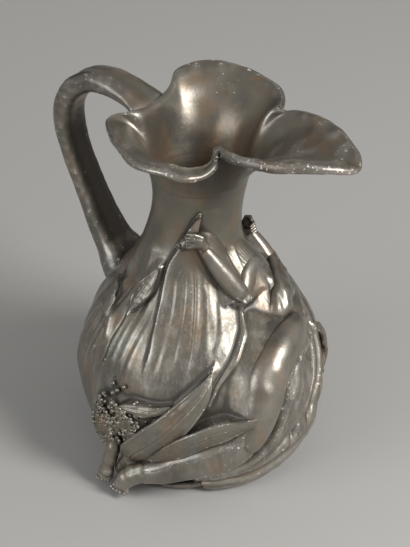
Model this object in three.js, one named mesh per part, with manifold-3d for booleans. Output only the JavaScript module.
// Pewter pitcher: a cast bulb in two halves on a base disc, a neck, a flower-shaped mouth,
// a strap handle, and a draped figure with leaves and blossoms soldered onto the bulb.
// Millimetres, +Z up, the spout points to +X and the handle to -X.
// The origin is the centre of the underside of the base.
import * as THREE from 'three';
import { mergeVertices } from 'three/addons/utils/BufferGeometryUtils.js';
import Module from 'manifold-3d';

const wasm = await Module();
wasm.setup();

// Driving dimensions of the vessel
const gap = 0.3; // solder joint between neighbouring pieces
const wall = 2.4; // cast wall
const bulbRadius = 65.5;
const bulbHeight = 45; // height of the widest ring of the bulb
const neckRadius = 23.5; // at the waist of the neck
const shoulderSweep = 70; // radius of the concave shoulder below the waist
const throatSweep = 78; // radius of the flare above the waist
const baseThickness = 3;
const baseInset = 1.2; // the base disc stands this far inside the bulb's outer face
const shoulderRise = 67; // from the widest ring up to the joint between bulb and neck
const mouthRise = 17; // from the waist up to the joint between neck and mouth
const leanDepth = 4; // the shoulder is fuller than round on the handle side
const leanSide = 205; // degrees, the side that is fuller
const leanHeight = 116;
const leanSpread = 26;

// Driving dimensions of the mouth and the handle
const throatLift = 15; // how far the mouth rises straight before it flares
const flareShare = 0.45; // part of the way out over which the lip keeps its own slope
const plugRise = 20; // height of the cone that trims the handle at the mouth
const strapRootRise = 47; // from the bulb's widest ring up to the root of the handle's centre line
const strapTopRise = 30.9; // from the mouth's joint up to the point where the handle meets the rim

// Fineness of the facets
const columns = 48;
const mouthColumns = 64;
const strapSteps = 22;
const strapSides = 12;
const limbSides = 9;
const limbSteps = 2; // rings between two stations of a limb
const bodySteps = 15; // rows of the bulb
const neckSteps = 6;
const weld = 1e-4; // points closer than this are one point
const endShare = 0.72; // size of a limb's end ring, and how far out it stands in half depths
const endReach = 0.6;

const degree = Math.PI / 180;
const sweepReach = bulbRadius + shoulderSweep;
const waistInset = neckRadius + shoulderSweep;
const waist = bulbHeight + Math.sqrt(sweepReach ** 2 - waistInset ** 2);
const sweepStart = bulbHeight + ((waist - bulbHeight) * bulbRadius) / sweepReach;
const shoulderSeam = bulbHeight + shoulderRise;
const mouthSeam = waist + mouthRise;
const strapRoot = bulbHeight + strapRootRise;
const strapTop = mouthSeam + strapTopRise;

// The tables of the mouth, handle, folds, figure and leaves give lengths in hundredths of the
// bulb's radius, so that they follow it, and angles in degrees
const unit = bulbRadius * 0.01;

// Radius of the plain body: a ball, a concave shoulder and a flaring throat
function plainRadius(z) {
  if (z < sweepStart) {
    return Math.sqrt(Math.max(bulbRadius ** 2 - (z - bulbHeight) ** 2, 0));
  }
  if (z < waist) {
    return waistInset - Math.sqrt(shoulderSweep ** 2 - (waist - z) ** 2);
  }
  return neckRadius + throatSweep - Math.sqrt(throatSweep ** 2 - (z - waist) ** 2);
}

// The body leans out a little under the handle
function bodyRadius(angle, z) {
  const swell = Math.exp(-(((z - leanHeight) / leanSpread) ** 2));
  return plainRadius(z) + leanDepth * swell * Math.cos((angle - leanSide) * degree);
}

// Folds of the drapery in the body's face: [angle, height] points, half width, proud height
const folds = [
  {
    path: [[-71, 200], [-85, 186.3], [-87, 166.4], [-83, 146.6], [-82, 122.1], [-81, 97.7]],
    width: 9.2, rise: 3.4,
  },
  { path: [[-22, 152.7], [-26, 137.4], [-36, 120.6], [-46, 103.8], [-54, 90.1]], width: 9.2, rise: 3.7 },
  { path: [[-97, 171], [-99, 152.7], [-99, 134.4], [-104, 117.6], [-110, 100.8]], width: 9.2, rise: 3.4 },
  { path: [[-128, 158.8], [-124, 140.5], [-122, 119.1], [-126, 91.6]], width: 10.7, rise: 3.1 },
  { path: [[10, 140.5], [6, 119.1], [0, 94.7], [-6, 70.2], [-14, 45.8]], width: 10.7, rise: 4 },
  { path: [[30, 128.2], [26, 100.8], [18, 73.3], [8, 48.9]], width: 10.7, rise: 2.4 },
  { path: [[70, 134.4], [62, 103.8], [50, 73.3], [36, 42.7]], width: 10.7, rise: 2.4 },
  { path: [[104, 140.5], [96, 106.9], [84, 73.3], [70, 39.7]], width: 10.7, rise: 3.7 },
  { path: [[136, 146.6], [128, 113], [118, 79.4], [106, 42.7]], width: 10.7, rise: 3.7 },
  { path: [[166, 140.5], [160, 109.9], [152, 76.3], [142, 39.7]], width: 10.7, rise: 3.4 },
  { path: [[196, 137.4], [192, 106.9], [186, 73.3], [178, 39.7]], width: 10.7, rise: 2.4 },
  { path: [[222, 134.4], [220, 103.8], [216, 73.3], [210, 39.7]], width: 10.7, rise: 1.8 },
];

// Distance over the body's face from a place to a fold's line
function distanceToFold(angle, z, path) {
  const scale = plainRadius(z) * degree;
  const place = new THREE.Vector3(0, z, 0);
  const line = new THREE.Line3();
  const nearest = new THREE.Vector3();
  let least = Infinity;
  for (let i = 0; i + 1 < path.length; i += 1) {
    const across = (at) => THREE.MathUtils.euclideanModulo(at - angle + 180, 360) - 180;
    const from = across(path[i][0]);
    const to = from + path[i + 1][0] - path[i][0];
    line.start.set(from * scale, path[i][1] * unit, 0);
    line.end.set(to * scale, path[i + 1][1] * unit, 0);
    line.closestPointToPoint(place, true, nearest);
    least = Math.min(least, nearest.distanceTo(place));
  }
  return least;
}

function foldRise(angle, z) {
  let rise = 0;
  for (const fold of folds) {
    const away = distanceToFold(angle, z, fold.path) / (fold.width * unit);
    rise = Math.max(rise, fold.rise * unit * Math.max(0, 1 - away * away));
  }
  return rise;
}

// A point over the body's face, in millimetres
function over(angle, z, height) {
  const radius = bodyRadius(angle, z) + height;
  return new THREE.Vector3(radius * Math.cos(angle * degree), radius * Math.sin(angle * degree), z);
}

// Closed mesh from points and triangles, turned so that its faces point out
function closedGeometry(points, triangles) {
  let volume = 0;
  for (const [a, b, c] of triangles) {
    volume += points[a].dot(points[b].clone().cross(points[c]));
  }
  const facing = volume < 0 ? triangles.map(([a, b, c]) => [a, c, b]) : triangles;
  const geometry = new THREE.BufferGeometry();
  geometry.setFromPoints(points);
  geometry.setIndex(facing.flat());
  return mergeVertices(geometry, weld);
}

// Closed skin over a row of rings, with a pole at each end
function skin(rings, startPole, endPole) {
  const sides = rings[0].length;
  const points = [startPole, ...rings.flat(), endPole];
  const last = points.length - 1;
  const at = (ring, side) => 1 + ring * sides + (side % sides);
  const triangles = [];
  for (let i = 0; i < sides; i += 1) {
    triangles.push([0, at(0, i + 1), at(0, i)]);
    triangles.push([last, at(rings.length - 1, i), at(rings.length - 1, i + 1)]);
    for (let j = 0; j + 1 < rings.length; j += 1) {
      triangles.push([at(j, i), at(j, i + 1), at(j + 1, i + 1)]);
      triangles.push([at(j, i), at(j + 1, i + 1), at(j + 1, i)]);
    }
  }
  return closedGeometry(points, triangles);
}

// Closed shell between an outer and an inner grid of points, rows by columns
function shell(outer, inner, round) {
  const rows = outer.length;
  const width = outer[0].length;
  const points = [...outer.flat(), ...inner.flat()];
  const at = (side, row, column) => side * rows * width + row * width + (column % width);
  const triangles = [];
  const quad = (a, b, c, d) => triangles.push([a, b, c], [a, c, d]);
  const spans = round ? width : width - 1;
  for (let i = 0; i < spans; i += 1) {
    for (let j = 0; j + 1 < rows; j += 1) {
      quad(at(0, j, i), at(0, j, i + 1), at(0, j + 1, i + 1), at(0, j + 1, i));
      quad(at(1, j, i), at(1, j + 1, i), at(1, j + 1, i + 1), at(1, j, i + 1));
    }
    quad(at(0, 0, i), at(1, 0, i), at(1, 0, i + 1), at(0, 0, i + 1));
    quad(at(0, rows - 1, i), at(0, rows - 1, i + 1), at(1, rows - 1, i + 1), at(1, rows - 1, i));
  }
  for (let j = 0; !round && j + 1 < rows; j += 1) {
    quad(at(0, j, 0), at(0, j + 1, 0), at(1, j + 1, 0), at(1, j, 0));
    quad(at(0, j, spans), at(1, j, spans), at(1, j + 1, spans), at(0, j + 1, spans));
  }
  return closedGeometry(points, triangles);
}

function toSolid(geometry) {
  const vertProperties = new Float32Array(geometry.attributes.position.array);
  const triVerts = new Uint32Array(geometry.index.array);
  return new wasm.Manifold(new wasm.Mesh({ numProp: 3, vertProperties, triVerts }));
}

function toGeometry(solid) {
  const mesh = solid.getMesh();
  const geometry = new THREE.BufferGeometry();
  geometry.setAttribute('position', new THREE.Float32BufferAttribute(mesh.vertProperties, 3));
  geometry.setIndex(Array.from(mesh.triVerts));
  return geometry;
}

// Evenly spaced heights from low to high
function heights(low, high, count) {
  return Array.from({ length: count + 1 }, (_, i) => THREE.MathUtils.lerp(low, high, i / count));
}

const bulbRows = heights(baseThickness + gap, shoulderSeam, bodySteps);
const neckRows = heights(shoulderSeam + gap, mouthSeam, neckSteps);
const columnAngle = 360 / columns;

// Half of the bulb, on the side where y has the given sign, split at the plane y = 0
function bulbHalf(sign) {
  const half = gap / 2;
  const first = sign > 0 ? 0 : -180;
  const row = (z, inset) => {
    const points = [];
    for (let i = 0; i <= columns / 2; i += 1) {
      const angle = first + i * columnAngle;
      const rise = inset ? -inset : foldRise(angle, z);
      const point = over(angle, z, rise);
      if (i === 0 || i === columns / 2) {
        point.x = Math.sign(point.x) * Math.sqrt(point.x ** 2 - half ** 2);
        point.y = sign * half;
      }
      points.push(point);
    }
    return points;
  };
  return shell(bulbRows.map((z) => row(z, 0)), bulbRows.map((z) => row(z, wall)), false);
}

function ring(z, rise) {
  return Array.from({ length: columns }, (_, i) => over(i * columnAngle, z, rise(i * columnAngle, z)));
}

function neckGeometry() {
  const outer = neckRows.map((z) => ring(z, foldRise));
  const inner = neckRows.map((z) => ring(z, () => -wall));
  return shell(outer, inner, true);
}

// The whole outer body as one solid, larger by the joint, to trim what is soldered on
function bodyEnvelope() {
  const rows = [-gap, ...bulbRows, ...neckRows];
  const rings = rows.map((z) => ring(z, (angle, at) => foldRise(angle, at) + gap));
  const foot = new THREE.Vector3(0, 0, -gap);
  const head = new THREE.Vector3(0, 0, mouthSeam);
  return toSolid(skin(rings, foot, head));
}

// Rim of the mouth seen from above, counter-clockwise from the spout's tip:
// x, y, height above the joint with the neck, and the slope of the lip there
const rim = [
  [143.5, 0, 48.9, -0.1], [138.9, 13.7, 53.1, 0], [122.1, 26, 55.6, 0.1], [102.3, 36.6, 56.2, 0.2],
  [79.4, 45, 55.6, 0.3], [61.1, 48.1, 53.4, 0.3], [50.4, 45.8, 51.9, 0.2], [42.7, 41.2, 52.5, 0.2],
  [42, 50.4, 50.4, 0.3], [38.2, 61.1, 49.5, 0.4], [29, 70.2, 51, 0.5], [12.2, 78.6, 52.8, 0.6],
  [-7.6, 80.9, 55.3, 0.7], [-22.9, 77.9, 58.9, 0.8], [-38.2, 69.5, 61.7, 0.8], [-50.4, 55, 60.3, 0.8],
  [-54.2, 39.7, 57.1, 0.8], [-50.4, 24.4, 51.9, 0.6], [-46.6, 10.7, 48.9, 0.4],
  [-46.6, -10.7, 48.9, 0.3], [-50.4, -22.9, 48.5, 0.2], [-59.5, -29, 45.2, 0],
  [-63.4, -36.6, 41.5, -0.1], [-58, -45.8, 39.7, -0.2], [-44.3, -56.5, 40.6, -0.2],
  [-27.5, -67.9, 41.8, -0.1], [-9.2, -76.3, 41.8, -0.1], [9.2, -80.2, 42.1, -0.1],
  [24.4, -78.6, 42.4, -0.1], [36.6, -73.3, 40, -0.2], [45.8, -64.9, 37.3, -0.3],
  [49.6, -56.5, 38.5, -0.2], [48.9, -47.3, 44.3, 0], [45, -39.7, 50.4, 0.2], [51.9, -42.7, 51.6, 0.2],
  [65.6, -46.6, 53.1, 0.2], [84, -47.3, 53.4, 0.2], [102.3, -43.5, 55, 0.2], [119.1, -35.9, 55.9, 0.1],
  [134.4, -23.7, 54.7, 0], [142, -11.5, 51.6, -0.1],
];

// Middle surface of the mouth: around is 0 to 1 along the rim, up is 0 at the neck, 1 at the rim
const rimCurve = new THREE.CatmullRomCurve3(
  rim.map(([x, y, z]) => new THREE.Vector3(x, y, z).multiplyScalar(unit)),
  true,
);
const slopeCurve = new THREE.CatmullRomCurve3(rim.map(([, , , s]) => new THREE.Vector3(s, 0, 0)), true);
const throatRadius = plainRadius(mouthSeam) - wall / 2;

function mouthPoint(around, up) {
  const edge = rimCurve.getPoint(around);
  const slope = slopeCurve.getPoint(around).x;
  const angle = Math.atan2(edge.y, edge.x);
  const foot = new THREE.Vector3(throatRadius * Math.cos(angle), throatRadius * Math.sin(angle), gap);
  const out = edge.clone().sub(foot).setZ(0);
  const reach = out.length() * flareShare;
  out.normalize();
  const rise = foot.clone().setZ(gap + throatLift);
  const lip = edge.clone().addScaledVector(out, -reach);
  lip.z -= slope * reach;
  const curve = new THREE.CubicBezierCurve3(foot, rise, lip, edge);
  const point = curve.getPoint(up);
  point.z += mouthSeam;
  return point;
}

const mouthRows = [0, 0.22, 0.44, 0.64, 0.82, 1];
const probe = 0.004; // step on the middle surface for its slope

// A row of the mouth, moved off the middle surface by the offset and out past its edge
function mouthRow(up, offset, past = 0) {
  const low = Math.max(up - probe, 0);
  const high = Math.min(up + probe, 1);
  return Array.from({ length: mouthColumns }, (_, i) => {
    const around = i / mouthColumns;
    const along = mouthPoint(around + probe, up).sub(mouthPoint(around - probe + 1, up));
    const climb = mouthPoint(around, high).sub(mouthPoint(around, low)).normalize();
    const normal = along.cross(climb).normalize();
    return mouthPoint(around, up).addScaledVector(normal, offset).addScaledVector(climb, past);
  });
}

function mouthGrid(offset) {
  return mouthRows.map((up) => mouthRow(up, offset));
}

function mouthGeometry() {
  return shell(mouthGrid(wall / 2), mouthGrid(-wall / 2), true);
}

// The mouth filled up and larger by the joint, to trim the handle
function mouthPlug() {
  const grown = wall / 2 + gap;
  const rings = [...mouthGrid(grown), mouthRow(1, grown, gap), mouthRow(1, -grown, gap)];
  const foot = new THREE.Vector3(0, 0, mouthSeam);
  const top = new THREE.Vector3(0, 0, rimCurve.getPoint(0.5).z + mouthSeam + plugRise);
  return toSolid(skin(rings, foot, top));
}

// Handle: x, share of the climb from root to rim, half width along y, half depth
const strap = [
  [-76.3, 0, 21.4, 13.7], [-89.3, 0.1, 17.7, 11.9], [-98.5, 0.2, 15.9, 10.4],
  [-108.4, 0.33, 14.7, 9.6], [-117.6, 0.46, 14, 9.5], [-126.1, 0.59, 13.7, 9.6],
  [-131.3, 0.72, 14, 9.9], [-130.5, 0.85, 14.5, 10.4], [-121.4, 0.96, 14.5, 10.1],
  [-105.3, 1.03, 14.5, 9.9], [-87, 1.05, 14.7, 9.6], [-70.2, 1.04, 15.3, 8.9], [-55, 1.01, 17.6, 7.6],
  [-41.2, 0.995, 19.8, 6.1],
];

function strapGeometry() {
  const climb = strapTop - strapRoot;
  const line = new THREE.CatmullRomCurve3(
    strap.map(([x, share]) => new THREE.Vector3(x * unit, 0, strapRoot + share * climb)),
  );
  const sizes = new THREE.CatmullRomCurve3(
    strap.map(([, , w, d]) => new THREE.Vector3(w * unit, d * unit, 0)),
  );
  const across = new THREE.Vector3(0, 1, 0);
  const rings = [];
  for (let i = 0; i <= strapSteps; i += 1) {
    const t = i / strapSteps;
    const centre = line.getPoint(t);
    const size = sizes.getPoint(t);
    const deep = line.getTangent(t).cross(across).normalize();
    rings.push(Array.from({ length: strapSides }, (_, k) => {
      const turn = (k / strapSides) * 2 * Math.PI;
      return centre.clone()
        .addScaledVector(across, size.x * Math.cos(turn))
        .addScaledVector(deep, size.y * Math.sin(turn));
    }));
  }
  return skin(rings, line.getPoint(0), line.getPoint(1));
}

// A rounded limb over the body: stations are [angle, z, height of the centre over the face,
// half width, half depth]
function limb(stations, grow = 0) {
  const line = new THREE.CatmullRomCurve3(
    stations.map(([a, z, h]) => over(a, z * unit, h * unit)),
    false,
    'centripetal',
  );
  const sizes = new THREE.CatmullRomCurve3(
    stations.map(([, , , w, d]) => new THREE.Vector3(w * unit, d * unit, 0)),
  );
  const steps = (stations.length - 1) * limbSteps;
  const rings = [];
  const ringAt = (t, share, shift) => {
    const centre = line.getPoint(t);
    const along = line.getTangent(t);
    const out = new THREE.Vector3(centre.x, centre.y, 0).normalize();
    out.addScaledVector(along, -out.dot(along)).normalize();
    const side = along.clone().cross(out);
    const size = sizes.getPoint(t);
    const wide = size.x * share + grow;
    const deep = size.y * share + grow;
    centre.addScaledVector(along, shift * (size.y + grow));
    return Array.from({ length: limbSides }, (_, k) => {
      const turn = (k / limbSides) * 2 * Math.PI;
      return centre.clone()
        .addScaledVector(side, wide * Math.cos(turn))
        .addScaledVector(out, deep * Math.sin(turn));
    });
  };
  rings.push(ringAt(0, endShare, -endReach));
  for (let i = 0; i <= steps; i += 1) {
    rings.push(ringAt(i / steps, 1, 0));
  }
  rings.push(ringAt(1, endShare, endReach));
  const tip = (t, way) => {
    const size = sizes.getPoint(t);
    return line.getPoint(t).addScaledVector(line.getTangent(t), way * (size.y + grow));
  };
  return toSolid(skin(rings, tip(0, -1), tip(1, 1)));
}

// A leaf over the body: stations are [angle, z, height of its middle, half width]
const leafThickness = 1.6;
const leafRib = 0.9; // how far the middle rib stands above the edges
const leafEdge = 0.6; // thickness at the edge, as a share of the middle's
const halfWay = 0.5; // from the rib to the edge
const halfFall = 0.33; // share of the rib's height lost there

function leaf(stations, grow = 0) {
  const scaled = stations.map(
    ([angle, ...lengths]) => [angle, ...lengths.map((length) => length * unit)],
  );
  const rings = scaled.map(([angle, z, height, width], i) => {
    const before = scaled[Math.max(i - 1, 0)];
    const after = scaled[Math.min(i + 1, scaled.length - 1)];
    const scale = plainRadius(z) * degree;
    const run = new THREE.Vector2((after[0] - before[0]) * scale, after[1] - before[1]).normalize();
    const reach = width + grow;
    const sideways = (share, rise) =>
      over(angle - (run.y * share * reach) / scale, z + run.x * share * reach, height + rise);
    const half = leafThickness / 2 + grow;
    const edge = half * leafEdge;
    const bow = half - leafRib * halfFall;
    return [
      sideways(1, edge - leafRib), sideways(halfWay, bow), sideways(0, half),
      sideways(-halfWay, bow), sideways(-1, edge - leafRib),
      sideways(-1, -edge - leafRib), sideways(0, -half), sideways(1, -edge - leafRib),
    ];
  });
  const middle = (points) =>
    points.reduce((sum, point) => sum.add(point), new THREE.Vector3()).divideScalar(points.length);
  return toSolid(skin(rings, middle(rings[0]), middle(rings[rings.length - 1])));
}

// The figure: both arms round the neck, the body along the spout side, the legs drawn up
// under the front of the bulb with the feet at the floor
const figure = {
  thigh: [
    [-6, 137.4, 4.6, 11, 10.7], [-11, 132.8, 6.9, 12.5, 12.2], [-17, 126.7, 7.6, 12.8, 13.1],
    [-22, 116, 8.4, 12.8, 13.7], [-26, 102.3, 9.2, 12.5, 13.7], [-29, 87, 9.9, 12.5, 13.4],
    [-32, 73.3, 9.9, 12.8, 13.1], [-35, 62.6, 9.2, 13.1, 12.8],
  ],
  shin: [
    [-39, 55, 9.2, 12.5, 11.9], [-46, 48.9, 9.2, 11.6, 11], [-54, 42.7, 9.9, 10.7, 10.4],
    [-62, 36.6, 12.2, 9.8, 9.5], [-70, 29.8, 15.3, 8.5, 8.2], [-77, 22.9, 18.3, 7.3, 7.3],
  ],
  near_foot: [
    [-81, 16.8, 18.3, 7, 7.3], [-86, 13, 22.9, 7.6, 7], [-90, 9.2, 30.5, 7.3, 5.5],
    [-92, 6.7, 36.6, 6.1, 4],
  ],
  far_foot: [
    [-97, 39.7, 7.6, 6.7, 6.7], [-98, 27.5, 13.7, 6.7, 6.7], [-99, 16.8, 22.9, 6.7, 6.1],
    [-100, 7.9, 32.1, 6.1, 4.3],
  ],
  near_upper_arm: [
    [-15, 166.4, 7, 8.2, 7.6], [-9, 170.2, 7.6, 9.2, 8.2], [0, 173.3, 7.6, 10.4, 9.2],
    [10, 172.5, 7, 11.3, 9.8], [20, 163.4, 4.6, 12.2, 10.1],
  ],
  near_forearm: [
    [-47, 198.5, 7.6, 5.8, 4.9], [-38, 189.3, 8.5, 6.9, 5.8], [-28, 175.6, 9.2, 7.9, 6.7],
    [-19.5, 164.9, 8.2, 8.2, 7.3],
  ],
  near_hand: [[-48.5, 204.6, 7, 6.7, 5.5], [-53, 209.2, 8.2, 7.6, 6.1], [-60, 210.7, 8.2, 6.7, 5.5]],
  drape_knot: [[-76, 200, 2.3, 3.7, 3.7], [-71, 204.6, 5.5, 6.1, 5.5], [-66, 207.6, 6.7, 5.5, 5.2]],
  figure_torso: [
    [3, 132.8, 0, 13.7, 10.7], [14, 135.9, -1.5, 15.3, 9.9], [30, 138.9, -3.8, 16, 9.2],
    [50, 140.5, -3.8, 16, 9.2], [68, 145, -1.5, 14.5, 9.2],
  ],
  far_arm: [
    [60, 152.7, 4.6, 9.2, 8.2], [66, 161.8, 7.6, 8.2, 7.6], [72, 171, 8.2, 7, 6.4],
    [75, 175.6, 7.6, 6.4, 5.8],
  ],
  far_hand: [[73, 182.4, 9.8, 7, 6.1], [67, 187.8, 10.7, 7, 6.1]],
  figure_head: [
    [93, 140.5, 7.6, 10.7, 10.7], [97, 146.6, 10.7, 13.7, 13.4], [101, 154.2, 11.5, 12.8, 12.8],
  ],
  hair_knot: [[106, 164.9, 9.2, 7.6, 7], [110, 169.5, 8.5, 6.7, 6.1]],
  drape_hem: [
    [26, 44.3, -2.3, 12.2, 6.9], [12, 36.6, -0.8, 13.7, 7.6], [-8, 27.5, 1.5, 13.7, 8.5],
    [-28, 19.1, 4.6, 12.2, 8.5], [-46, 13.7, 6.1, 9.2, 7],
  ],
  blossoms: [
    [-107, 71.8, 0, 6.1, 5.2], [-102, 72.5, 2.3, 13.7, 8.2], [-94, 71.8, 3.7, 18.3, 10.4],
    [-87, 70.2, 3.1, 16, 9.2], [-81, 67.2, 0.8, 7.6, 5.5],
  ],
};

const leaves = {
  leaf_long: [
    [-84, 41.2, 9.2, 6.1], [-79, 55, 9.8, 11.6], [-72, 71.8, 9.8, 13.7], [-64, 90.1, 9.2, 12.2],
    [-56, 106.9, 7.6, 7.6], [-49, 120.6, 6.1, 1.2],
  ],
  leaf_knee: [
    [-72, 50.4, 12.8, 1.8], [-64, 61.1, 12.8, 6.7], [-55, 72.5, 12.8, 7.9], [-46, 82.4, 14.7, 7.3],
    [-38.5, 90.1, 17.7, 5.2], [-32, 95.4, 21.1, 1.2],
  ],
  leaf_curled: [
    [-91, 85.5, 13.7, 1.2], [-84, 92.4, 10.7, 5.2], [-77, 95.4, 6.7, 5.2], [-70, 98.5, 5.2, 1.2],
  ],
  leaf_hem: [
    [-78, 6.1, 13.7, 1.2], [-70, 5.2, 13.7, 4.6], [-61, 5.5, 12.2, 5.2], [-52, 7, 9.2, 4.3],
    [-44, 9.2, 6.1, 1.2],
  ],
  leaf_left_upper: [
    [-94, 178.6, 6.1, 0.9], [-96, 169.5, 6.4, 5.5], [-97, 160.3, 6.4, 5.8], [-99, 148.1, 5.8, 1.2],
  ],
  leaf_left_lower: [
    [-136, 155.7, 5.2, 0.9], [-126, 148.1, 5.8, 5.2], [-119, 138.9, 5.8, 5.2], [-113, 128.2, 5.2, 0.9],
  ],
  leaf_right_upper: [
    [30, 109.9, 3.7, 1.2], [35, 100.8, 4.3, 5.5], [38, 88.5, 4.6, 6.7], [38, 76.3, 4.3, 5.5],
    [35, 65.6, 3.7, 1.2],
  ],
  leaf_right_lower: [
    [40, 59.5, 3.7, 1.2], [43, 50.4, 4.3, 5.5], [43, 39.7, 4.3, 5.5], [40, 30.5, 3.7, 1.2],
  ],
  leaf_back_upper: [
    [126, 113, 5.2, 1.2], [136, 100.8, 6.4, 7.6], [147, 87, 6.4, 8.2], [158, 73.3, 5.5, 1.2],
  ],
  leaf_back_lower: [
    [168, 97.7, 5.2, 1.2], [177, 84, 6.1, 7.6], [186, 70.2, 6.1, 7.9], [196, 56.5, 5.2, 1.2],
  ],
  drape_tip: [[-63, 214.5, 6.1, 2.7], [-59.5, 219.8, 6.7, 2.7], [-54, 227.5, 5.5, 0.8]],
};

// Trims a piece by the grown shapes of what it rests against
function fitted(raw, neighbours) {
  return neighbours.reduce((solid, neighbour) => solid.subtract(neighbour), raw);
}

const envelope = bodyEnvelope();
const pewter = { roughness: 0.42, metalness: 0.85 };
const plain = () => new THREE.MeshStandardMaterial({ color: 0x5b564d, ...pewter });
const worn = () => new THREE.MeshStandardMaterial({ color: 0x6a6459, ...pewter });
const dark = () => new THREE.MeshStandardMaterial({ color: 0x49453e, ...pewter });

// Puts a geometry into a group, held by its own reference point
function place(group, name, geometry, material, anchor = new THREE.Vector3()) {
  geometry.translate(-anchor.x, -anchor.y, -anchor.z);
  const mesh = new THREE.Mesh(geometry, material);
  mesh.name = name;
  mesh.position.copy(anchor);
  group.add(mesh);
}

const pitcher = new THREE.Group();
const vessel = new THREE.Group();
const figureGroup = new THREE.Group();
const foliage = new THREE.Group();
pitcher.add(vessel, figureGroup, foliage);

const baseRadius = plainRadius(baseThickness) - baseInset;
const baseProfile = [
  new THREE.Vector2(0, 0), new THREE.Vector2(baseRadius, 0),
  new THREE.Vector2(baseRadius, baseThickness), new THREE.Vector2(0, baseThickness),
];
const baseGeometry = new THREE.LatheGeometry(baseProfile, columns);
baseGeometry.deleteAttribute('normal');
baseGeometry.deleteAttribute('uv');
baseGeometry.rotateX(Math.PI / 2);
place(vessel, 'base_disc', mergeVertices(baseGeometry, weld), plain());
place(vessel, 'bulb_near', bulbHalf(-1), plain());
place(vessel, 'bulb_far', bulbHalf(1), plain());
place(vessel, 'neck', neckGeometry(), plain(), new THREE.Vector3(0, 0, shoulderSeam));
place(vessel, 'mouth', mouthGeometry(), plain(), new THREE.Vector3(0, 0, mouthSeam));
const handle = fitted(toSolid(strapGeometry()), [envelope, mouthPlug()]);
place(vessel, 'handle', toGeometry(handle), plain(), new THREE.Vector3(0, 0, strapRoot));

// Each soldered piece names the pieces that it is trimmed against
const seats = {
  thigh: [],
  figure_torso: ['thigh'],
  near_upper_arm: ['figure_torso'],
  near_forearm: ['near_upper_arm'],
  near_hand: ['near_forearm'],
  drape_knot: ['near_hand'],
  shin: ['thigh'],
  drape_hem: ['thigh', 'shin'],
  near_foot: ['shin'],
  far_foot: ['near_foot'],
  blossoms: ['far_foot'],
  far_arm: ['figure_torso'],
  far_hand: ['far_arm'],
  figure_head: ['figure_torso', 'far_arm'],
  hair_knot: ['figure_head'],
  leaf_long: ['blossoms', 'shin', 'far_foot'],
  leaf_knee: ['thigh', 'leaf_long', 'shin'],
  leaf_curled: ['blossoms', 'leaf_long'],
  leaf_hem: ['shin', 'near_foot', 'drape_hem'],
  leaf_left_upper: [],
  leaf_left_lower: [],
  leaf_right_upper: [],
  leaf_right_lower: ['drape_hem'],
  leaf_back_upper: [],
  leaf_back_lower: [],
  drape_tip: ['near_hand', 'drape_knot'],
};

function shape(name, grow) {
  return name in figure ? limb(figure[name], grow) : leaf(leaves[name], grow);
}

for (const [name, against] of Object.entries(seats)) {
  const neighbours = [envelope, ...against.map((other) => shape(other, gap))];
  const solid = fitted(shape(name), neighbours);
  const [angle, z] = (figure[name] ?? leaves[name])[0];
  const group = name in figure ? figureGroup : foliage;
  place(group, name, toGeometry(solid), name in figure ? worn() : dark(), over(angle, z * unit, 0));
}

export default pitcher;
